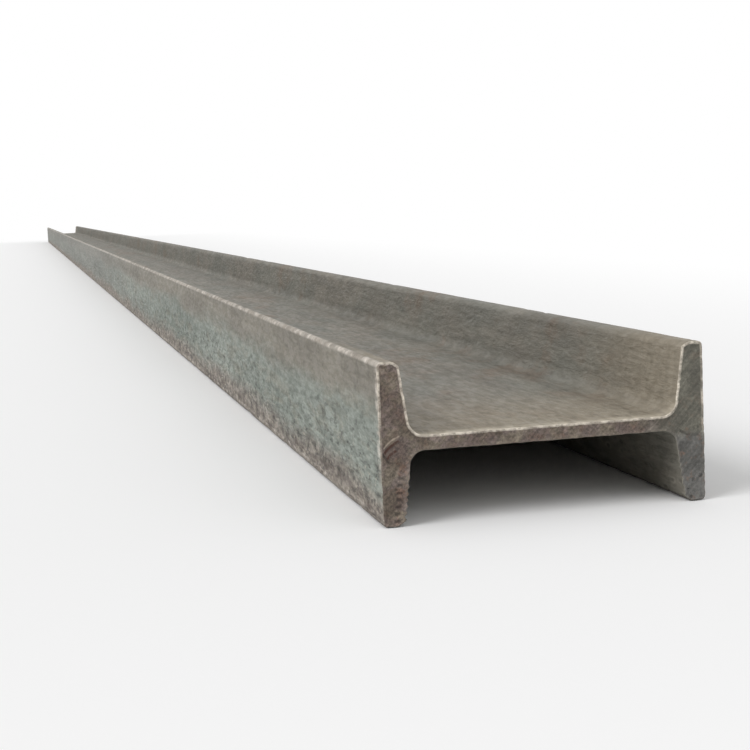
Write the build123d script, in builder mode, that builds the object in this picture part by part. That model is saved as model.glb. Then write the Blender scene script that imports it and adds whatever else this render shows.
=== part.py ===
from build123d import *
from math import atan, pi, tan
import os

# A hot-rolled steel I-beam with tapered flanges, one length of stock.
# It lies with its web level, as beams lie in a bundle: X runs across the
# section from flange to flange, Y along the beam, Z up from the floor.
# All sizes are in millimetres.

# section
section_depth = 120.0
flange_width = 58.0
web_thickness = 5.0
# measured a quarter of the flange width in from a toe
flange_thickness = 9.7
# rise of a flange's inner face over its run, toe to root
flange_taper = 0.14
root_radius = 5.5
toe_radius = 3.1
# what the rolls leave on the outer edge of each toe
outer_edge_radius = 1.8

# stock length, sawn square at both ends
beam_length = 6000.0

# thickness of a flange at its toe and where its inner face meets the web
toe_thickness = flange_thickness - flange_taper * flange_width / 4
root_thickness = toe_thickness + flange_taper * (flange_width - web_thickness) / 2

# both inner corners turn through a right angle less the taper, and the toe's
# rounding stops where the outer edge's begins
inner_turn = pi / 2 - atan(flange_taper)
toe_room = toe_thickness - outer_edge_radius
toe_fillet = min(toe_radius, 0.95 * toe_room / tan(inner_turn / 2))

# the section stands square to the beam, its web at half the flange width
section_plane = Plane(
    origin=(0, 0, flange_width / 2), x_dir=(1, 0, 0), z_dir=(0, -1, 0)
)

with BuildPart() as i_beam:
    with BuildSketch(section_plane):
        with BuildLine():
            # a quarter of the outline, from the middle of a flange's outer
            # face round its toe and down its tapered face to the web
            FilletPolyline(
                (section_depth / 2, 0),
                (section_depth / 2, flange_width / 2),
                (section_depth / 2 - toe_thickness, flange_width / 2),
                (section_depth / 2 - root_thickness, web_thickness / 2),
                (0, web_thickness / 2),
                radius=[outer_edge_radius, toe_fillet, root_radius],
            )
            mirror(about=Plane.YZ)
            mirror(about=Plane.XZ)
        make_face()
    extrude(amount=beam_length / 2, both=True)

i_beam.part.label = "i_beam"

os.makedirs("parts", exist_ok=True)
export_step(i_beam.part, "parts/i_beam.step")
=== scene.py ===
import math

import bpy
import numpy as np
from mathutils import Matrix, Vector, geometry, noise


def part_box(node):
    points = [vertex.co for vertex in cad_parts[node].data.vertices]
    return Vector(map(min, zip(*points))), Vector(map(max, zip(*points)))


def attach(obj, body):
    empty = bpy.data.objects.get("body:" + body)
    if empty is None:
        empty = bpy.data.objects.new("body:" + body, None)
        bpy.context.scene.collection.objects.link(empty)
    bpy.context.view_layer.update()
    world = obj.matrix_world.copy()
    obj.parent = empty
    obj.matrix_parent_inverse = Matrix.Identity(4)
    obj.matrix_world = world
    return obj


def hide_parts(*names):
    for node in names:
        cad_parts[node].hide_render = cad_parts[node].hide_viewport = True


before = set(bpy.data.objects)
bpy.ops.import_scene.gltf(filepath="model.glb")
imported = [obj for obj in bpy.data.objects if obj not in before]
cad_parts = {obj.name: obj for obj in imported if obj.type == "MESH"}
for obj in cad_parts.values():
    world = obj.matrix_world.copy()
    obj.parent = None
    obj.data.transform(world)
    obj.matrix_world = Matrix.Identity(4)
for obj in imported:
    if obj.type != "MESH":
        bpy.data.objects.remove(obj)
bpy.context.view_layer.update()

MM = 0.001

# The beam as the frame gives it. X runs across the section, Y along the beam.
low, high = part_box("i_beam")
DEPTH = high.x - low.x
WIDTH = high.z - low.z
NEAR_Y = low.y
FAR_Y = high.y
MIDDLE = Vector((low + high) / 2)

# The rolled section's other sizes
WEB = 5.0 * MM
FLANGE = 9.7 * MM
TAPER = 0.14
ROOT_RADIUS = 5.5 * MM
TOE_RADIUS = 3.1 * MM
EDGE_RADIUS = 1.8 * MM
TOE = FLANGE - TAPER * WIDTH / 4
ROOT = TOE + TAPER * (WIDTH - WEB) / 2

# How many steps each stretch of a quarter of the outline is cut into, from the
# middle of a flange's outer face round its toe to the middle of the web
OUTLINE_STEPS = {
    "outer": 28,
    "edge": 8,
    "toe": 4,
    "toe_round": 12,
    "taper": 36,
    "root": 12,
    "web": 40,
}


# Section outline


def fillet(corner, before, after, radius, steps):
    """Points round a corner, from where the arc leaves the side to before to where it meets the
    side to after."""
    back = (before - corner).normalized()
    on = (after - corner).normalized()
    half = back.angle(on) / 2
    centre = corner + (back + on).normalized() * radius / math.sin(half)
    start = corner + back * radius / math.tan(half) - centre
    turn = math.pi - 2 * half
    side = 1 if back.cross(on) < 0 else -1
    return [
        centre + Matrix.Rotation(side * turn * i / steps, 2) @ start
        for i in range(steps + 1)
    ]


def straight(start, end, steps):
    return [start.lerp(end, i / steps) for i in range(steps + 1)]


def quarter_outline():
    """The upper right quarter of the section about its own middle, as (x, z) points."""
    n = OUTLINE_STEPS
    half_depth, half_width = DEPTH / 2, WIDTH / 2
    corners = [
        Vector((half_depth, 0)),
        Vector((half_depth, half_width)),
        Vector((half_depth - TOE, half_width)),
        Vector((half_depth - ROOT, WEB / 2)),
        Vector((0, WEB / 2)),
    ]
    edge = fillet(corners[1], corners[0], corners[2], EDGE_RADIUS, n["edge"])
    toe = fillet(corners[2], corners[1], corners[3], TOE_RADIUS, n["toe_round"])
    root = fillet(corners[3], corners[2], corners[4], ROOT_RADIUS, n["root"])
    points = straight(corners[0], edge[0], n["outer"])[:-1] + edge[:-1]
    points += straight(edge[-1], toe[0], n["toe"])[:-1] + toe[:-1]
    points += straight(toe[-1], root[0], n["taper"])[:-1] + root[:-1]
    points += straight(root[-1], corners[4], n["web"])
    return points


def section_ring():
    """The whole outline as an (n, 2) array, anticlockwise from the middle of the right flange's
    outer face."""
    quarter = quarter_outline()
    ring = []
    for sx, sz, forward in ((1, 1, True), (-1, 1, False), (-1, -1, True), (1, -1, False)):
        part = [(sx * p.x, sz * p.y) for p in quarter]
        ring += (part if forward else part[::-1])[:-1]
    return np.array(ring)


def outward_normals(ring):
    ahead = np.roll(ring, -1, 0) - np.roll(ring, 1, 0)
    normals = np.stack([ahead[:, 1], -ahead[:, 0]], 1)
    return normals / np.linalg.norm(normals, axis=1)[:, None]


RING = section_ring()
NORMALS = outward_normals(RING)
STEPS_ROUND = len(RING)
# the length of each of its edges, and how far round it each of its points lies
EDGES = np.linalg.norm(np.roll(RING, -1, 0) - RING, axis=1)
ROUND = np.cumsum(EDGES) - EDGES
# 1 between the flanges, where no face touches the beam's box, and 0 outside them
BETWEEN = np.clip((WIDTH / 2 - 0.4 * MM - abs(RING[:, 1])) / (2 * MM), 0, 1)
BETWEEN *= abs(RING[:, 0]) < DEPTH / 2 - EDGE_RADIUS

# Stations along the beam. Each zone is (end, first step, last step, every),
# where end is its distance from the near end and every says which of the
# outline's points its rings keep.
LENGTH = FAR_Y - NEAR_Y
# the first and last ring between the lips, this far from either end
FIRST_GAP = 1.4 * MM
ZONES = [
    (62 * MM, 1.0 * MM, 1.4 * MM, 1),
    (800 * MM, 2.8 * MM, 20 * MM, 2),
    (LENGTH - 90 * MM, 20 * MM, 80 * MM, 4),
    (LENGTH - FIRST_GAP, 5 * MM, 2.2 * MM, 2),
]


def stations():
    """(distance from the near end, every) of each ring between the two sawn ends."""
    at = FIRST_GAP
    found = [(at, 1)]
    for end, first, last, every in ZONES:
        start = at
        while at < end - 1e-9:
            share = (at - start) / (end - start)
            step = first + (last - first) * share
            at = end if at + 1.5 * step > end else at + step
            found.append((at, every))
    return found


# Relief of the rolled surface

# fine relief covers this much at each end, and fades out over FINE_FADE
FINE_TO = 45 * MM
FINE_FADE = 20 * MM


def wave(place, size, seed):
    """Smooth noise from -1 to 1 with bumps about size across."""
    return noise.noise(Vector(place) / size + Vector((seed * 7.3, seed * 3.1, seed * 5.7)))


def ragged(place, size, seed):
    """Noise about 0 whose bumps have smaller bumps on them."""
    place = Vector(place) / size + Vector((seed * 4.9, seed * 8.3, seed * 2.1))
    return noise.fractal(place, 0.9, 2.1, 4)


def relief(x, y, z, fine):
    """How far the surface lies under its nominal place: waves, ripples drawn out by the rolls and,
    where fine is above 0, dimples and pits."""
    place = (x, y, z)
    sunk = 0.07 * MM * (1 + wave(place, 26 * MM, seed=1))
    sunk += 0.05 * MM * (1 + wave((x, y * 0.15, z), 5 * MM, seed=2))
    if fine > 0:
        low_on_flange = max(0.0, 1 - (z - low.z) / (0.45 * WIDTH))
        rough = 0.35 + low_on_flange
        sunk += fine * rough * 0.10 * MM * (1 + ragged(place, 5 * MM, seed=3))
        pit = wave(place, 4.2 * MM, seed=4) - 0.33
        if pit > 0:
            sunk += fine * rough * 1.1 * MM * pit
    return sunk


def nick(x, y, z):
    """How deep the small dents along the toes are."""
    near_toe = max(0.0, 1 - min(z - low.z, high.z - z) / (3 * MM))
    if near_toe == 0:
        return 0.0
    dent = wave((x, y, z * 0.2), 14 * MM, seed=6) - 0.28
    return max(0.0, dent) * near_toe * 1.3 * MM


# What the saw left

# how far apart its teeth marks are where it broke out of the steel
CHATTER = 2.5 * MM
# the middle of its blade, and how far it moved on from one arc to the next
BLADE_X, BLADE_Z = 0.30, -0.42
ARC_STEP = 1.9 * MM

# The lip round each end, as (distance from the end, inset from the side, how
# bare its metal is, how ragged), from the side to the sawn face
LIP = [
    (0.90 * MM, 0.00 * MM, 0.0, 0.3),
    (0.50 * MM, 0.00 * MM, 0.5, 0.8),
    (0.22 * MM, 0.06 * MM, 1.0, 1.0),
    (0.04 * MM, 0.20 * MM, 1.0, 1.0),
    (0.00 * MM, 0.44 * MM, 1.0, 1.0),
    (0.10 * MM, 0.78 * MM, 0.8, 1.0),
    (0.22 * MM, 1.10 * MM, 0.0, 1.0),
]
# from this inset on, the lip has the sawn face's colours
SAWN_FROM = 0.20 * MM
# how far apart the sawn face's vertices are at the near end
SAWN_GRID = 0.75 * MM


def rim_tooth(x, z, along, between):
    """How far in the saw left the outline, at a place along it, and below 0 where it left a burr."""
    bite = ragged((along, x, z), 2.2 * MM, seed=9)
    if between < 0.5:
        return 0.26 * MM * max(0.0, bite + 0.2)
    if z > MIDDLE.z - WEB:
        return 0.16 * MM * (bite - 0.9)
    # scalloped towards the lower toes
    share = min(1.0, max(0.0, (MIDDLE.z - 7 * MM - z) / (8 * MM)))
    share *= 0.65 + 0.35 * wave((along, x, z), 7 * MM, seed=11)
    wander = 4 * wave((along, x, z), 6 * MM, seed=10)
    scallop = math.sin(along / CHATTER * math.tau + wander)
    return 0.40 * MM * share * (scallop - 0.5) + (0.10 + 0.22 * share) * MM * (bite - 0.6)


def saw_depth(x, z):
    """How deep the saw cut at a place on an end: shallow arcs, a little noise and a few pits."""
    blade = Vector((x - BLADE_X, z - BLADE_Z)).length
    arc = math.sin(blade / ARC_STEP * math.tau + 2 * wave((x, 0, z), 30 * MM, seed=12))
    depth = 0.30 * MM + 0.035 * MM * arc
    depth += 0.05 * MM * ragged((x, 0, z), 3 * MM, seed=13)
    pit = wave((x, 0, z), 3.4 * MM, seed=14) - 0.42
    return depth + max(0.0, pit) * 1.6 * MM


# The mesh


class Skin:
    """The mesh in the making: its vertices, how bare each one's metal is, its place on the skin laid
    flat, in metres, the faces, and whether each of them is sawn."""

    def __init__(self):
        self.verts, self.lips, self.spread, self.faces, self.sawn = [], [], [], [], []

    def mark_faces(self, sawn):
        """Notes whether the faces added since the last call are sawn."""
        self.sawn += [sawn] * (len(self.faces) - len(self.sawn))


def add_ring(skin, at, every, extra, lip, path):
    """Appends one ring of vertices, let in by extra, and returns their indices."""
    fine = 1 - min(1.0, max(0.0, (min(at, LENGTH - at) - FINE_TO) / FINE_FADE))
    first = len(skin.verts)
    y = NEAR_Y + at
    for i in range(0, STEPS_ROUND, every):
        x, z = RING[i][0], MIDDLE.z + RING[i][1]
        sunk = relief(x, y, z, fine) + nick(x, y, z) + (extra[i] if extra else 0.0)
        # between the flanges the relief may stand proud as well
        sunk -= BETWEEN[i] * (0.16 + 0.12 * fine) * MM
        skin.verts.append((x - NORMALS[i][0] * sunk, y, z - NORMALS[i][1] * sunk))
        skin.lips.append(lip)
        skin.spread.append((path, UNROLLED[i]))
    return list(range(first, len(skin.verts)))


def join_rings(faces, a, b):
    """Faces between two rings, where b may have as many vertices as a, half or double."""
    if len(a) == len(b):
        n = len(a)
        faces += [(a[i], b[i], b[(i + 1) % n], a[(i + 1) % n]) for i in range(n)]
        return
    dense, sparse, flip = (a, b, False) if len(a) > len(b) else (b, a, True)
    n = len(sparse)
    for i in range(n):
        left, mid, right = dense[2 * i], dense[2 * i + 1], dense[(2 * i + 2) % len(dense)]
        lone, after = sparse[i], sparse[(i + 1) % n]
        trio = [(left, lone, mid), (mid, lone, after), (mid, after, right)]
        faces += [t[::-1] for t in trio] if flip else trio


def sawn_face(skin, ring, at, inward, grid):
    """Fills the outline with a fine triangle mesh, cut by the saw."""
    outline = [(skin.verts[i][0], skin.verts[i][2]) for i in ring]
    spots = []
    for i in range(int(DEPTH / grid) + 1):
        for j in range(int(WIDTH / grid) + 1):
            jog = grid * 0.5 * (j % 2)
            spots.append((low.x + i * grid + jog, low.z + j * grid))
    inside = points_inside(spots, np.array(outline), 0.45 * grid)
    count = len(outline)
    flat = [Vector(p) for p in outline] + [Vector(p) for p in inside]
    edges = [(i, (i + 1) % count) for i in range(count)]
    places, _, cells, origin, _, _ = geometry.delaunay_2d_cdt(flat, edges, [], 1, 1e-9)
    index = []
    for k, place in enumerate(places):
        source = origin[k][0] if origin[k] else -1
        if 0 <= source < count:
            index.append(ring[source])
            continue
        cut = saw_depth(place.x, place.y)
        skin.verts.append((place.x, at + inward * cut, place.y))
        skin.lips.append(0.0)
        skin.spread.append((0.0, 0.0))
        index.append(len(skin.verts) - 1)
    for cell in cells:
        corners = tuple(index[k] for k in cell)
        skin.faces.append(corners if inward > 0 else corners[::-1])


def points_inside(spots, outline, margin):
    """The spots that lie inside the outline and at least margin from it."""
    spots = np.array(spots)
    after = np.roll(outline, -1, 0)
    crossings = np.zeros(len(spots), int)
    near = np.full(len(spots), 1e9)
    for a, b in zip(outline, after):
        span = b - a
        crosses = (a[1] > spots[:, 1]) != (b[1] > spots[:, 1])
        rise = span[1] if span[1] else 1e-12
        x_at = a[0] + (spots[:, 1] - a[1]) * span[0] / rise
        crossings += crosses & (spots[:, 0] < x_at)
        share = np.clip(((spots - a) @ span) / max(span @ span, 1e-18), 0, 1)
        gap = np.linalg.norm(spots - (a + share[:, None] * span), axis=1)
        near = np.minimum(near, gap)
    return spots[(crossings % 2 == 1) & (near > margin)]


def beam_mesh():
    """The whole beam as one closed mesh, fine towards its ends."""
    skin = Skin()
    teeth = [
        rim_tooth(x, MIDDLE.z + z, along, between)
        for (x, z), along, between in zip(RING, ROUND, BETWEEN)
    ]
    rings = [(gap, 1, inset, bare, rag) for gap, inset, bare, rag in reversed(LIP)]
    rings += [(at, every, 0.0, 0.0, 0.0) for at, every in stations()]
    rings += [(LENGTH - gap, 2, inset, bare, rag) for gap, inset, bare, rag in LIP]
    path, before, previous, first = 0.0, None, None, None
    for at, every, inset, bare, rag in rings:
        here = Vector((at, inset))
        path += (here - before).length if before else 0.0
        extra = [inset + rag * tooth for tooth in teeth] if rag else None
        ring = add_ring(skin, at, every, extra, bare, path)
        if previous:
            join_rings(skin.faces, previous, ring)
            skin.mark_faces(min(before.y, inset) >= SAWN_FROM)
        else:
            first = ring
        before, previous = here, ring
    side_faces = len(skin.faces)
    sawn_face(skin, first, NEAR_Y, 1, SAWN_GRID)
    near_faces = len(skin.faces)
    sawn_face(skin, previous, FAR_Y, -1, 2 * SAWN_GRID)
    skin.mark_faces(True)
    mesh = bpy.data.meshes.new("rolled_beam")
    mesh.from_pydata(skin.verts, [], skin.faces)
    bare = mesh.attributes.new("bare", "FLOAT", "POINT")
    bare.data.foreach_set("value", skin.lips)
    mesh.polygons.foreach_set("material_index", np.array(skin.sawn, np.int32))
    mesh.polygons.foreach_set("use_smooth", np.ones(len(mesh.polygons), bool))
    mesh.update()
    lay_flat(mesh, skin, side_faces, near_faces)
    return mesh


# The skin laid flat for a texture, in a unit square: four lengths of the sides,
# one above the other, with the two ends beside them. Scales are in the square's
# sides per metre.
LENGTHS = 4
SIDE_SCALE = 0.48
END_SCALE = 2.4
GAP = 0.012
# how much more room there is close to either end and to the toes
END_SPREAD = 1.5
END_ZONE = 60 * MM
TOE_SPREAD = 1.0
TOE_ZONE = 2.5 * MM
OPENED = EDGES * (1 + TOE_SPREAD * (abs(RING[:, 1]) > WIDTH / 2 - TOE_ZONE))
UNROLLED = np.cumsum(OPENED) - OPENED
ALL_ROUND = OPENED.sum()


def lay_flat(mesh, skin, side_faces, near_faces):
    """Adds the texture layout. The faces up to side_faces are the sides', and those from there up to
    near_faces the near end's."""
    starts = np.empty(len(mesh.polygons), np.int32)
    mesh.polygons.foreach_get("loop_start", starts)
    counts = np.empty(len(mesh.polygons), np.int32)
    mesh.polygons.foreach_get("loop_total", counts)
    vertex = np.empty(len(mesh.loops), np.int32)
    mesh.loops.foreach_get("vertex_index", vertex)
    face = np.repeat(np.arange(len(starts)), counts)
    verts = np.array(skin.verts)[vertex]
    along, round_it = np.array(skin.spread)[vertex].T
    total = along.max()
    # each face lies in one of the lengths, and none of them across the seam
    length = total / LENGTHS
    which = np.clip(np.minimum.reduceat(along, starts) // length, 0, LENGTHS - 1)[face]
    furthest = np.maximum.reduceat(round_it, starts)[face]
    round_it = np.where(furthest - round_it > ALL_ROUND / 2, round_it + ALL_ROUND, round_it)
    near_end = END_SPREAD * np.minimum(along, END_ZONE)
    far_end = END_SPREAD * np.maximum(along - (total - END_ZONE), 0)
    opened = along - which * length + near_end * (which == 0) + far_end
    u = GAP + SIDE_SCALE * opened
    v = GAP + which * (SIDE_SCALE * ALL_ROUND + GAP) + SIDE_SCALE * round_it
    for first, last, row in ((side_faces, near_faces, 0), (near_faces, len(starts), 1)):
        here = (face >= first) & (face < last)
        u[here] = 1 - GAP - END_SCALE * (high.z - verts[here, 2])
        v[here] = GAP + row * (END_SCALE * DEPTH + GAP) + END_SCALE * (verts[here, 0] - low.x)
    uv = mesh.uv_layers.new(name="OFBake")
    uv.data.foreach_set("uv", np.stack([u, v], 1).ravel())


# Colours as they look on screen, 0 to 255. The two of a pair are laid in clouds.
GREY_GREEN = (114, 121, 113), (134, 140, 132)
OLIVE = (112, 110, 97), (134, 131, 118)
BEIGE = (113, 108, 98), (127, 122, 111)
BROWN = (100, 91, 84), (142, 134, 124)
FAR_GREY = (120, 120, 114), (132, 131, 125)
WARM_GREY = (107, 106, 98), (121, 119, 110)
TAN = (111, 107, 98), (126, 121, 111)
# dust, lighter near the ends partly as a painted highlight
DUST_AND_HIGHLIGHT = (136, 126, 109), (150, 140, 123)
# rubbed edges, partly a painted highlight on their roundings
RUBBED_AND_HIGHLIT = (164, 155, 144), (222, 213, 203)
# bare steel of the lip, partly a painted highlight on the burr
BARE_STEEL_AND_HIGHLIGHT = (172, 163, 150), (222, 213, 198)
SAWN_OLIVE = (94, 84, 74), (114, 105, 93)
SAWN_MAUVE = (94, 82, 76), (114, 103, 97)
SAWN_GREY = (89, 87, 79), (107, 105, 95)
SAWN_COOL_GREY = (85, 84, 81), (103, 102, 99)
FRESH_RUST = (94, 73, 60), (120, 94, 78)
RUST_BLOOM = (111, 93, 77)
PALE_DUST_HIGHLIGHT = (192, 182, 164)
# a painted highlight of pale dust behind the web's upper lip
FLECK = (178, 170, 155)
FOOT_SHADE = (78, 71, 64)
SCRATCH = (168, 155, 140)
# painted shade along the beam's bottom
DARK_RUST = (66, 42, 34)

# white as a shader takes it
WHITE = (1, 1, 1, 1)

# the specular level of the beam's dull skin
DULL = 0.3


def srgb(red, green, blue):
    """A colour written as it looks on screen, 0 to 255, as the linear one a shader takes."""
    return [((c / 255 + 0.055) / 1.055) ** 2.4 for c in (red, green, blue)] + [1.0]


# Material nodes


class Net:
    """Short calls for building one material's nodes."""

    def __init__(self, name):
        self.material = bpy.data.materials.new(name)
        self.material.use_nodes = True
        self.tree = self.material.node_tree
        self.tree.nodes.clear()
        self.shader = self.add("ShaderNodeBsdfPrincipled")
        self.output = self.add("ShaderNodeOutputMaterial")
        self.link(self.shader.outputs[0], self.output.inputs["Surface"])
        coordinates = self.add("ShaderNodeTexCoord")
        self.place = coordinates.outputs["Object"]
        split = self.add("ShaderNodeSeparateXYZ")
        self.link(self.place, split.inputs[0])
        self.x, self.y, self.z = split.outputs
        # how far to either side of the beam's middle, and along it
        self.aside = self.math("ABSOLUTE", self.x)
        self.ahead = self.math("ABSOLUTE", self.y)

    def add(self, kind, **settings):
        node = self.tree.nodes.new(kind)
        for key, value in settings.items():
            setattr(node, key, value)
        return node

    def link(self, source, socket):
        self.tree.links.new(source, socket)

    def feed(self, socket, value):
        if isinstance(value, bpy.types.NodeSocket):
            self.link(value, socket)
        else:
            socket.default_value = value

    def math(self, operation, a, b=0.0):
        node = self.add("ShaderNodeMath", operation=operation)
        self.feed(node.inputs[0], a)
        self.feed(node.inputs[1], b)
        return node.outputs[0]

    def times(self, *values):
        product = values[0]
        for value in values[1:]:
            product = self.math("MULTIPLY", product, value)
        return product

    def along(self, direction, offset=0.0):
        """The distance of the place along a direction, less an offset."""
        node = self.add("ShaderNodeVectorMath", operation="DOT_PRODUCT")
        self.link(self.place, node.inputs[0])
        node.inputs[1].default_value = direction
        return self.math("SUBTRACT", node.outputs["Value"], offset)

    def drawn(self, along, up=1.0):
        """The place shrunk along the beam, and upwards, so that noise made from it is drawn out."""
        node = self.add("ShaderNodeVectorMath", operation="MULTIPLY")
        self.link(self.place, node.inputs[0])
        node.inputs[1].default_value = (1.0, along, up)
        return node.outputs[0]

    def noise(self, size, detail=2.0, roughness=0.5, place=None, distortion=0.0):
        """Noise from 0 to 1 whose bumps are about size across."""
        node = self.add("ShaderNodeTexNoise")
        self.link(place or self.place, node.inputs["Vector"])
        node.inputs["Scale"].default_value = 1 / size
        node.inputs["Detail"].default_value = detail
        node.inputs["Roughness"].default_value = roughness
        node.inputs["Distortion"].default_value = distortion
        return node.outputs["Fac"]

    def cells(self, size, place=None):
        """How far, in sizes, the nearest of many scattered points is."""
        node = self.add("ShaderNodeTexVoronoi")
        self.link(place or self.place, node.inputs["Vector"])
        node.inputs["Scale"].default_value = 1 / size
        return node.outputs["Distance"]

    def fade(self, value, start, end, low=0.0, high=1.0):
        """low where value is at start, high where it is at end, and smooth between."""
        node = self.add("ShaderNodeMapRange", interpolation_type="SMOOTHSTEP")
        self.feed(node.inputs["Value"], value)
        for name, number in zip(("From Min", "From Max", "To Min", "To Max"), (start, end, low, high)):
            node.inputs[name].default_value = number
        return node.outputs[0]

    def mix(self, share, a, b):
        """Colour a where share is 0, colour b where it is 1."""
        node = self.add("ShaderNodeMix", data_type="RGBA")
        self.feed(node.inputs[0], share)
        self.feed(node.inputs[6], a)
        self.feed(node.inputs[7], b)
        return node.outputs[2]

    def clouds(self, size, pair, place=None):
        """A pair of colours in clouds about size across."""
        first, second = pair
        share = self.fade(self.noise(size, 4.0, 0.6, place), 0.38, 0.62)
        return self.mix(share, srgb(*first), srgb(*second))

    def shade(self, colour, value):
        """The colour multiplied by a grey value."""
        node = self.add("ShaderNodeVectorMath", operation="SCALE")
        self.link(colour, node.inputs[0])
        self.feed(node.inputs["Scale"], value)
        return node.outputs[0]

    def darken(self, colour, share):
        return self.shade(colour, self.math("SUBTRACT", 1.0, share))

    def tint(self, colour, grey, strength):
        """The colour multiplied by a grey value near 1, whose swing is scaled by strength."""
        swing = self.times(self.math("SUBTRACT", grey, 1.0), strength)
        return self.shade(colour, self.math("ADD", swing, 1.0))

    def bump(self, height, distance, strength, normal=None):
        node = self.add("ShaderNodeBump")
        node.inputs["Strength"].default_value = strength
        node.inputs["Distance"].default_value = distance
        self.link(height, node.inputs["Height"])
        if normal is not None:
            self.link(normal, node.inputs["Normal"])
        return node.outputs[0]


def lay_lip(net, colour, rough):
    """Lays the lip's scuffed bare steel over a colour and a roughness, partly as a painted highlight
    where light catches the burr. It is broken on the outer corners and fades towards the lower ones,
    nearly whole on the upper edges between the flanges, where it is brightest as a painted highlight,
    and faint on the lower ones there."""
    lip = net.add("ShaderNodeAttribute", attribute_name="bare").outputs["Fac"]
    stretches = net.noise(10 * MM, 4.0, 0.65)
    grains = net.fade(net.noise(1.4 * MM, 2.0, 0.6), 0.34, 0.56, 0.45, 1.0)
    outside = net.fade(net.aside, DEPTH / 2 - 2.5 * MM, DEPTH / 2 - 1.5 * MM)
    between = net.math("SUBTRACT", 1.0, outside)
    outer = net.times(
        outside,
        net.fade(stretches, 0.38, 0.60, 0.28, 1.0),
        net.fade(net.z, low.z + 16 * MM, low.z + 44 * MM, 0.08, 0.95),
    )
    inner = net.times(
        between,
        net.fade(stretches, 0.32, 0.52, 0.55, 1.0),
        net.fade(net.z, MIDDLE.z - 2 * MM, MIDDLE.z + 1 * MM, 0.06, 1.0),
    )
    # the lip's bare steel, partly a painted highlight, strongest on the upper edges between the
    # flanges
    share = net.times(lip, grains, net.math("ADD", outer, inner))
    steel = net.clouds(4 * MM, BARE_STEEL_AND_HIGHLIGHT)
    net.feed(net.shader.inputs["Base Color"], net.mix(share, colour, steel))
    net.feed(net.shader.inputs["Roughness"], net.math("SUBTRACT", rough, net.times(share, 0.15)))
    net.shader.inputs["Specular IOR Level"].default_value = DULL


# The rolled surface


class ScaleNet(Net):
    """The rolled surface's nodes, with what tells its places apart."""

    def __init__(self, name):
        super().__init__(name)
        # from 0 at the floor to 1 at the upper toes
        self.height = self.math("DIVIDE", self.math("SUBTRACT", self.z, low.z), WIDTH)
        # how far the nearer end is
        self.end_gap = self.math("SUBTRACT", LENGTH / 2, self.ahead)
        # 1 on the flanges' outer faces
        self.outside = self.fade(self.aside, DEPTH / 2 - 2.4 * MM, DEPTH / 2 - 1.2 * MM)


def outer_colour(net):
    """The outer faces: beige towards the upper toes, grey-green, then brown towards the lower. They
    are greyer towards the far end."""
    wander = net.noise(30 * MM, 4.0, 0.55, net.drawn(0.2))
    level = net.math("ADD", net.height, net.times(net.math("SUBTRACT", wander, 0.5), 0.5))
    green = net.clouds(60 * MM, GREY_GREEN, net.drawn(0.2))
    olive = net.fade(net.noise(7 * MM, 4.0, 0.6, net.drawn(0.2)), 0.48, 0.62, 0.0, 0.5)
    green = net.mix(olive, green, net.clouds(4 * MM, OLIVE))
    beige = net.clouds(25 * MM, BEIGE, net.drawn(0.25))
    brown = net.clouds(5 * MM, BROWN, net.drawn(0.35))
    colour = net.mix(net.fade(level, 0.58, 0.84), green, beige)
    grey = net.clouds(40 * MM, FAR_GREY, net.drawn(0.1))
    colour = net.mix(net.fade(net.y, NEAR_Y + 0.7, NEAR_Y + 2.2, 0.0, 0.7), colour, grey)
    return net.mix(net.fade(level, 0.30, 0.08), colour, brown)


def inner_colour(net):
    """Between the flanges: grey-tan in soft patches, with rust in a few places, dust near the ends
    that is partly a painted highlight, and a painted highlight of pale dust as a fringe on the web."""
    grey = net.clouds(14 * MM, WARM_GREY, net.drawn(0.25))
    tan = net.clouds(9 * MM, TAN, net.drawn(0.25))
    colour = net.mix(net.fade(net.noise(34 * MM, 5.0, 0.6, net.drawn(0.25)), 0.40, 0.62), grey, tan)
    blooms = net.noise(70 * MM, 8.0, 0.7, net.drawn(0.5))
    colour = net.mix(net.fade(blooms, 0.56, 0.66, 0.0, 0.5), colour, srgb(*RUST_BLOOM))
    above = net.fade(net.z, MIDDLE.z, MIDDLE.z + 2 * MM)
    # dust near the ends on the upper faces, partly a painted highlight where light falls on them
    dust_and_highlight = net.times(net.fade(net.end_gap, 130 * MM, 4 * MM, 0.0, 0.75), above)
    colour = net.mix(dust_and_highlight, colour, net.clouds(5 * MM, DUST_AND_HIGHLIGHT))
    # a painted highlight of pale dust on the web, just behind its upper lip
    highlight_fringe = net.times(
        above,
        net.fade(net.z, MIDDLE.z + 9 * MM, MIDDLE.z + 4 * MM),
        net.fade(net.end_gap, 9 * MM, 1.5 * MM, 0.0, 0.7),
        net.fade(net.noise(7 * MM), 0.35, 0.55, 0.5, 1.0),
    )
    return net.mix(highlight_fringe, colour, srgb(*PALE_DUST_HIGHLIGHT))


def lay_streaks(net, colour, streaks):
    """Fine streaks and broad bands, drawn out by the rolls."""
    bands = net.noise(9 * MM, 3.0, 0.55, net.drawn(0.02))
    strength = net.fade(net.outside, 0, 1, 0.8, 0.9)
    colour = net.tint(colour, net.fade(streaks, 0.32, 0.68, 0.93, 1.07), strength)
    return net.tint(colour, net.fade(bands, 0.34, 0.66, 0.94, 1.06), strength)


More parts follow.
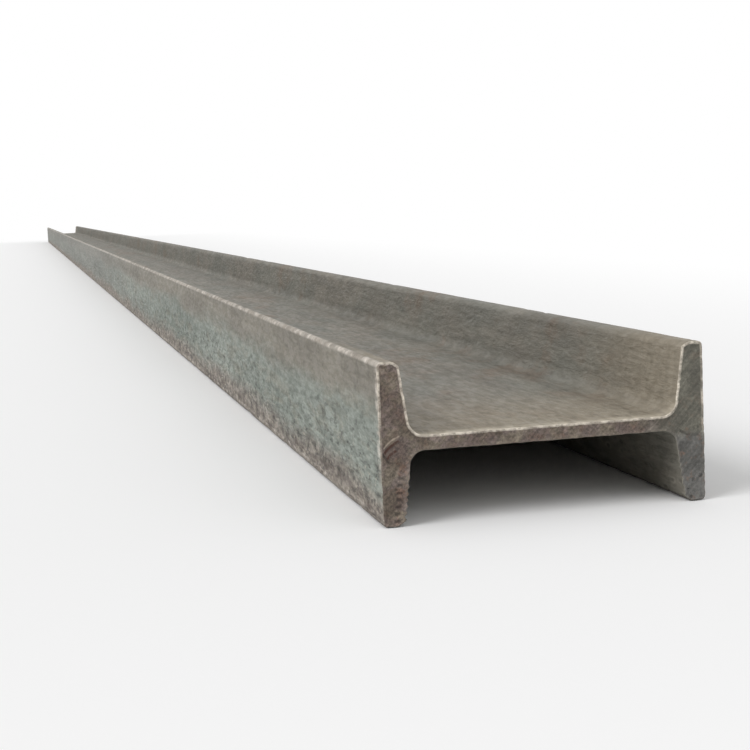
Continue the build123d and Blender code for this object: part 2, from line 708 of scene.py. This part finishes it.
def lay_scale(net, colour, dimples):
    """Dimples, dark blots, specks and pale flecks, most of all low on the outer faces."""
    rough_low = net.times(
        net.fade(net.height, 0.85, 0.35, 0.30, 1.2),
        net.fade(net.outside, 0, 1, 0.36, 1.0),
    )
    colour = net.tint(colour, net.fade(dimples, 0.38, 0.60, 0.86, 1.10), rough_low)

    clumps = net.fade(net.noise(22 * MM, 3.0, 0.6, net.drawn(0.22)), 0.42, 0.60, 0.25, 1.0)
    clumps = net.math("MAXIMUM", clumps, net.fade(net.end_gap, 150 * MM, 60 * MM, 0.0, 0.9))
    blots = net.fade(net.noise(2.6 * MM, 2.0, 0.5, net.drawn(0.24)), 0.52, 0.61)
    torn = net.fade(net.noise(1.8 * MM, 3.0, 0.6), 0.42, 0.56, 0.3, 1.0)
    colour = net.darken(colour, net.times(blots, torn, rough_low, clumps, 0.55))

    specks = net.noise(1.3 * MM, 2.0, 0.6, net.drawn(0.22))
    speckled = net.times(
        net.fade(net.outside, 0, 1, 0.35, 1.0),
        net.fade(net.height, 0.75, 0.35, 0.6, 1.0),
    )
    colour = net.tint(colour, net.fade(specks, 0.34, 0.66, 0.86, 1.14), speckled)
    flecks = net.fade(net.noise(1.9 * MM, 2.0, 0.5, net.drawn(0.4)), 0.64, 0.70)
    flecks = net.times(flecks, net.fade(net.height, 0.60, 0.25), net.outside, clumps)
    return net.mix(net.times(flecks, 0.55), colour, srgb(*FLECK))


def lay_dabs(net, colour):
    """Upright dark dabs on the outer faces, in clusters."""
    dabs = net.fade(net.noise(2.2 * MM, 2.0, 0.5, net.drawn(0.7, up=0.2)), 0.60, 0.68)
    clusters = net.fade(net.noise(45 * MM, 2.0), 0.48, 0.60)
    return net.darken(colour, net.times(dabs, clusters, net.outside, 0.28))


def lay_pits(net, colour, pits):
    """Pits with pale rims, towards the lower toes."""
    patches = net.fade(net.noise(14 * MM, 3.0, 0.5, net.drawn(0.5)), 0.42, 0.56)
    near_foot = net.times(net.fade(net.height, 0.36, 0.12), patches)
    rims = net.times(net.fade(pits, 0.20, 0.32), net.fade(pits, 0.48, 0.34), near_foot)
    colour = net.shade(colour, net.math("ADD", 1.0, net.times(rims, 0.34)))
    return net.darken(colour, net.times(net.fade(pits, 0.28, 0.12), near_foot, 0.45))


def lay_rubbing_and_highlights(net, colour):
    """The outer edges painted pale, partly rubbed and partly a painted highlight on their roundings,
    along the beam and at its ends, and painted shade along the bottom under the lower ones.
    """
    chips = net.noise(4 * MM, 4.0, 0.7, net.drawn(0.4))
    from_middle = net.math("ABSOLUTE", net.math("SUBTRACT", net.z, MIDDLE.z))
    chipped = net.math(
        "MAXIMUM",
        net.fade(chips, 0.40, 0.62, 0.45, 1.0),
        net.times(net.fade(net.end_gap, 60 * MM, 15 * MM), net.fade(chips, 0.30, 0.50, 0.6, 1.0)),
    )
    edge = net.times(
        net.outside,
        net.fade(from_middle, WIDTH / 2 - 2.3 * MM, WIDTH / 2 - 1.1 * MM),
        net.fade(net.end_gap, 400 * MM, 20 * MM, 0.85, 1.0),
        chipped,
    )
    corner = net.times(
        net.outside,
        net.fade(net.end_gap, 5.0 * MM, 1.2 * MM),
        net.fade(net.height, 0.15, 0.60, 0.35, 1.0),
        net.fade(chips, 0.42, 0.60, 0.1, 1.0),
    )
    foot_line = net.times(
        net.outside,
        net.fade(net.z, low.z + 2.0 * MM, low.z + 2.8 * MM),
        net.fade(net.z, low.z + 4.2 * MM, low.z + 3.2 * MM),
        net.fade(chips, 0.46, 0.62, 0.0, 0.7),
    )
    # pale where the edges are rubbed, and partly a painted highlight on their roundings
    rubbed_and_highlit = net.math("MAXIMUM", net.math("MAXIMUM", edge, corner), foot_line)
    colour = net.mix(net.times(rubbed_and_highlit, 0.85), colour, net.clouds(8 * MM, RUBBED_AND_HIGHLIT))
    # painted shade along the bottom rounding, darker towards the floor
    foot_shade = net.times(
        net.fade(net.z, low.z + 2.4 * MM, low.z + 0.9 * MM),
        net.fade(net.noise(9 * MM), 0.3, 0.6, 0.6, 0.95),
    )
    return net.mix(foot_shade, colour, srgb(*FOOT_SHADE))


def mill_scale():
    """The material of the rolled surface."""
    net = ScaleNet("mill_scale")
    streaks = net.noise(2.4 * MM, 4.0, 0.6, net.drawn(0.012))
    dimples = net.noise(2.8 * MM, 4.0, 0.62, net.drawn(0.22), 0.2)
    pits = net.cells(4.0 * MM, net.drawn(0.5))
    colour = net.mix(net.outside, inner_colour(net), outer_colour(net))
    colour = lay_streaks(net, colour, streaks)
    colour = lay_scale(net, colour, dimples)
    colour = lay_dabs(net, colour)
    colour = lay_pits(net, colour, pits)
    colour = lay_rubbing_and_highlights(net, colour)
    lay_lip(net, colour, net.fade(dimples, 0.38, 0.62, 0.74, 0.56))
    normal = net.bump(streaks, 0.3 * MM, 0.5)
    normal = net.bump(dimples, 1.6 * MM, 0.6, normal)
    normal = net.bump(net.math("MINIMUM", pits, 0.35), 1.6 * MM, 0.5, normal)
    net.link(normal, net.shader.inputs["Normal"])
    return net.material


# The sawn ends

# the saw's strokes run up to the right at this angle across both ends
SAW_ANGLE = math.radians(47)
SAW_ALONG = (math.cos(SAW_ANGLE), 0.0, math.sin(SAW_ANGLE))
SAW_ACROSS = (-math.sin(SAW_ANGLE), 0.0, math.cos(SAW_ANGLE))


def saw_marks(net, pitch, length):
    """Noise drawn out along the saw's strokes."""
    strokes = net.add("ShaderNodeCombineXYZ")
    net.link(net.along(SAW_ACROSS), strokes.inputs[0])
    net.link(net.times(net.along(SAW_ALONG), pitch / length), strokes.inputs[1])
    return net.noise(pitch, 3.0, 0.6, strokes.outputs[0], 0.2)


def near_half(net):
    """1 on the beam's near end and 0 on its far half."""
    return net.fade(net.y, 0.0, -1.0)


def stroke(net, start, end, width, bow=0.0):
    """1 on a line between two places of the near end, bowed aside by bow, and 0 away from it. The
    places are (across from the left flange's outer face, up from the web's middle), in mm."""
    start, end = (Vector((low.x + x * MM, MIDDLE.z + z * MM)) for x, z in (start, end))
    span = end - start
    ahead = span.normalized()
    across = Vector((-ahead.y, ahead.x))
    run = net.along((ahead.x, 0, ahead.y), start.dot(ahead))
    off = net.along((across.x, 0, across.y), start.dot(across))
    share = net.math("SUBTRACT", net.math("DIVIDE", run, span.length), 0.5)
    off = net.math("ADD", off, net.times(share, share, 4 * bow))
    line = net.fade(net.math("ABSOLUTE", net.math("SUBTRACT", off, bow)), width, width * 0.3)
    ends = net.times(net.fade(run, 0.0, width), net.fade(run, span.length, span.length - width))
    return net.times(line, ends, near_half(net))


def rusty_colour(net, low_down, to_right):
    """Brown rust, grey towards the right flange, with fresher rust low down."""
    brown = net.mix(
        net.fade(net.noise(6 * MM, 3.0, 0.6), 0.42, 0.58),
        net.clouds(9 * MM, SAWN_OLIVE),
        net.clouds(9 * MM, SAWN_MAUVE),
    )
    grey = net.mix(
        net.fade(net.z, MIDDLE.z - 2 * MM, MIDDLE.z - 7 * MM),
        net.clouds(9 * MM, SAWN_GREY),
        net.clouds(9 * MM, SAWN_COOL_GREY),
    )
    fresh = net.times(
        net.fade(net.noise(5 * MM, 4.0, 0.65), 0.52, 0.66),
        net.fade(low_down, 0, 1, 0.2, 0.6),
    )
    return net.mix(fresh, net.mix(to_right, brown, grey), net.clouds(3 * MM, FRESH_RUST))


def lay_chatter(net, colour):
    """A row of dark and light dots inside the left flange's lower inner edge, at the near end."""
    inner_edge = low.x + TOE - TAPER * low.z
    row = net.math("ABSOLUTE", net.along((1, 0, -TAPER), inner_edge - 2.8 * MM))
    row = net.fade(row, 1.5 * MM, 0.5 * MM)
    row = net.times(row, net.fade(net.z, low.z + 20 * MM, low.z + 15 * MM), near_half(net))
    wander = net.times(net.noise(5 * MM), 4.0)
    beat = net.math("SINE", net.math("ADD", net.times(net.z, math.tau / CHATTER), wander))
    dark = net.times(row, net.fade(beat, 0.0, 0.7), 0.55)
    light = net.times(row, net.fade(beat, -0.3, -0.9), 0.22)
    return net.shade(colour, net.math("SUBTRACT", net.math("ADD", 1.0, light), dark))


def lay_scratches(net, colour):
    """On the near end: a scratch from the left flange's corner with rust beside it and a crack under
    it, and a dark curved line across the right flange."""
    worn = net.fade(net.noise(2 * MM), 0.35, 0.6, 0.2, 0.65)
    scratch = stroke(net, (1.5, -1.5), (7.6, 2.9), 0.42 * MM, 0.7 * MM)
    colour = net.mix(net.times(scratch, worn), colour, srgb(*SCRATCH))
    beside = stroke(net, (1.6, -3.3), (7.6, 1.2), 0.7 * MM, 0.7 * MM)
    under = stroke(net, (2.4, -5.2), (6.4, -2.0), 0.7 * MM, 0.4 * MM)
    patchy = net.fade(net.noise(1.5 * MM), 0.36, 0.52, 0.3, 0.9)
    rust = net.times(net.math("MAXIMUM", beside, under), patchy)
    colour = net.mix(rust, colour, srgb(*DARK_RUST))
    crack = stroke(net, (0.8, -2.6), (3.4, -6.5), 0.6 * MM)
    colour = net.darken(colour, net.times(crack, 0.5))
    # a dark curved line across the right flange, below the web's root
    dark_line = stroke(net, (110.0, -2.6), (118.0, -4.6), 0.8 * MM, -0.9 * MM)
    return net.darken(colour, net.times(dark_line, worn, 0.8))


def sawn_steel():
    """The material of the sawn ends."""
    net = Net("sawn_steel")
    low_down = net.fade(net.z, MIDDLE.z + 6 * MM, MIDDLE.z - 10 * MM)
    to_right = net.fade(net.x, 30 * MM, 52 * MM)
    strokes = saw_marks(net, 1.15 * MM, 22 * MM)
    broad = saw_marks(net, 3.2 * MM, 40 * MM)
    grain = net.noise(1.0 * MM, 3.0, 0.7)
    pits = net.cells(3.6 * MM)

    colour = rusty_colour(net, low_down, to_right)
    colour = net.shade(colour, net.fade(strokes, 0.36, 0.64, 0.86, 1.14))
    colour = net.shade(colour, net.fade(broad, 0.36, 0.64, 0.91, 1.07))
    softer = net.fade(to_right, 0, 1, 1.0, 0.6)
    colour = net.tint(colour, net.fade(grain, 0.34, 0.66, 0.66, 1.34), softer)
    pitted = net.times(
        net.fade(pits, 0.30, 0.12),
        net.fade(net.noise(9 * MM), 0.44, 0.58),
        net.fade(low_down, 0, 1, 0.45, 1.0),
        net.fade(net.noise(0.9 * MM, 2.0, 0.6), 0.40, 0.56, 0.2, 1.0),
    )
    colour = net.darken(colour, net.times(pitted, 0.6))
    colour = lay_chatter(net, colour)
    colour = lay_scratches(net, colour)

    lay_lip(net, colour, net.fade(grain, 0.3, 0.7, 0.62, 0.8))
    normal = net.bump(strokes, 0.5 * MM, 0.6)
    normal = net.bump(grain, 0.6 * MM, 0.6, normal)
    normal = net.bump(net.math("MINIMUM", pits, 0.3), 1.2 * MM, 0.5, normal)
    net.link(normal, net.shader.inputs["Normal"])
    return net.material


# The scene


def make_beam():
    beam = bpy.data.objects.new("rolled_beam", beam_mesh())
    bpy.context.scene.collection.objects.link(beam)
    beam.data.materials.append(mill_scale())
    beam.data.materials.append(sawn_steel())
    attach(beam, "root")
    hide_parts("i_beam")


# The camera stands at the photo's viewing angle, turned to the beam alone
CAMERA_PLACE = Vector((-0.1761, -3.5331, 0.1135))
FORWARD = Vector((0.2110, 0.9714, -0.1091)).normalized()
RIGHT = Vector((0.9751, -0.2169, -0.0453))
LENS = 77.1


def make_camera():
    data = bpy.data.cameras.new("camera")
    data.sensor_width = 36.0
    data.lens = LENS
    data.clip_start, data.clip_end = 0.01, 200.0
    camera = bpy.data.objects.new("camera", data)
    right = (RIGHT - FORWARD * RIGHT.dot(FORWARD)).normalized()
    turn = Matrix((right, right.cross(FORWARD), -FORWARD)).transposed()
    camera.matrix_world = Matrix.Translation(CAMERA_PLACE) @ turn.to_4x4()
    bpy.context.scene.collection.objects.link(camera)
    bpy.context.scene.camera = camera


# Floor, backdrop and light

FLOOR_HALF = 60.0
# the floor's grey
PALE = 0.94
# how far from the beam the floor has turned as white as the backdrop
WHITE_FROM = 0.75
# how strongly the world lights the beam. The camera and glossy rays see it white.
SKY = 0.58


def make_floor():
    """A pale floor that keeps the beam's shadow and turns white away from it."""
    mesh = bpy.data.meshes.new("floor")
    s = FLOOR_HALF
    mesh.from_pydata([(-s, -s, 0), (s, -s, 0), (s, s, 0), (-s, s, 0)], [], [(0, 1, 2, 3)])
    floor = bpy.data.objects.new("floor", mesh)
    floor.location.z = low.z
    bpy.context.scene.collection.objects.link(floor)
    net = Net("floor_paint")
    net.shader.inputs["Base Color"].default_value = (PALE, PALE, PALE, 1)
    net.shader.inputs["Roughness"].default_value = 0.9
    net.shader.inputs["Specular IOR Level"].default_value = 0.1
    past_end = net.math("MAXIMUM", net.math("SUBTRACT", net.ahead, LENGTH / 2), 0.0)
    past_side = net.math("MAXIMUM", net.math("SUBTRACT", net.aside, DEPTH / 2), 0.0)
    squares = net.math("ADD", net.times(past_end, past_end), net.times(past_side, past_side))
    away = net.math("SQRT", squares)
    light_path = net.add("ShaderNodeLightPath")
    white = net.add("ShaderNodeEmission")
    white.inputs["Color"].default_value = WHITE
    blend = net.add("ShaderNodeMixShader")
    share = net.times(net.fade(away, 0.0, WHITE_FROM), light_path.outputs["Is Camera Ray"])
    net.link(share, blend.inputs[0])
    net.link(net.shader.outputs[0], blend.inputs[1])
    net.link(white.outputs[0], blend.inputs[2])
    net.link(blend.outputs[0], net.output.inputs["Surface"])
    mesh.materials.append(net.material)


def make_world():
    """A white backdrop that lights the beam a little less than it shows."""
    world = bpy.data.worlds.new("studio")
    world.use_nodes = True
    tree = world.node_tree
    tree.nodes.clear()
    shells = []
    for strength in (SKY, 1.0):
        shell = tree.nodes.new("ShaderNodeBackground")
        shell.inputs["Color"].default_value = WHITE
        shell.inputs["Strength"].default_value = strength
        shells.append(shell)
    path = tree.nodes.new("ShaderNodeLightPath")
    direct = tree.nodes.new("ShaderNodeMath")
    direct.operation = "MAXIMUM"
    blend = tree.nodes.new("ShaderNodeMixShader")
    output = tree.nodes.new("ShaderNodeOutputWorld")
    tree.links.new(path.outputs["Is Camera Ray"], direct.inputs[0])
    tree.links.new(path.outputs["Is Glossy Ray"], direct.inputs[1])
    tree.links.new(direct.outputs[0], blend.inputs[0])
    tree.links.new(shells[0].outputs[0], blend.inputs[1])
    tree.links.new(shells[1].outputs[0], blend.inputs[2])
    tree.links.new(blend.outputs[0], output.inputs["Surface"])
    bpy.context.scene.world = world


def make_lamp(name, direction, strength, spread):
    """A soft sun whose light comes from direction."""
    data = bpy.data.lights.new(name, "SUN")
    data.energy = strength
    data.angle = math.radians(spread)
    lamp = bpy.data.objects.new(name, data)
    lamp.rotation_mode = "QUATERNION"
    lamp.rotation_quaternion = Vector(direction).to_track_quat("Z", "Y")
    bpy.context.scene.collection.objects.link(lamp)


make_camera()
make_world()
make_floor()
make_lamp("key", (-0.80, -0.35, 0.75), 1.4, 35)
make_lamp("fill", (0.25, -1.0, 0.50), 0.5, 60)
make_beam()
bpy.context.scene.view_settings.view_transform = "Standard"
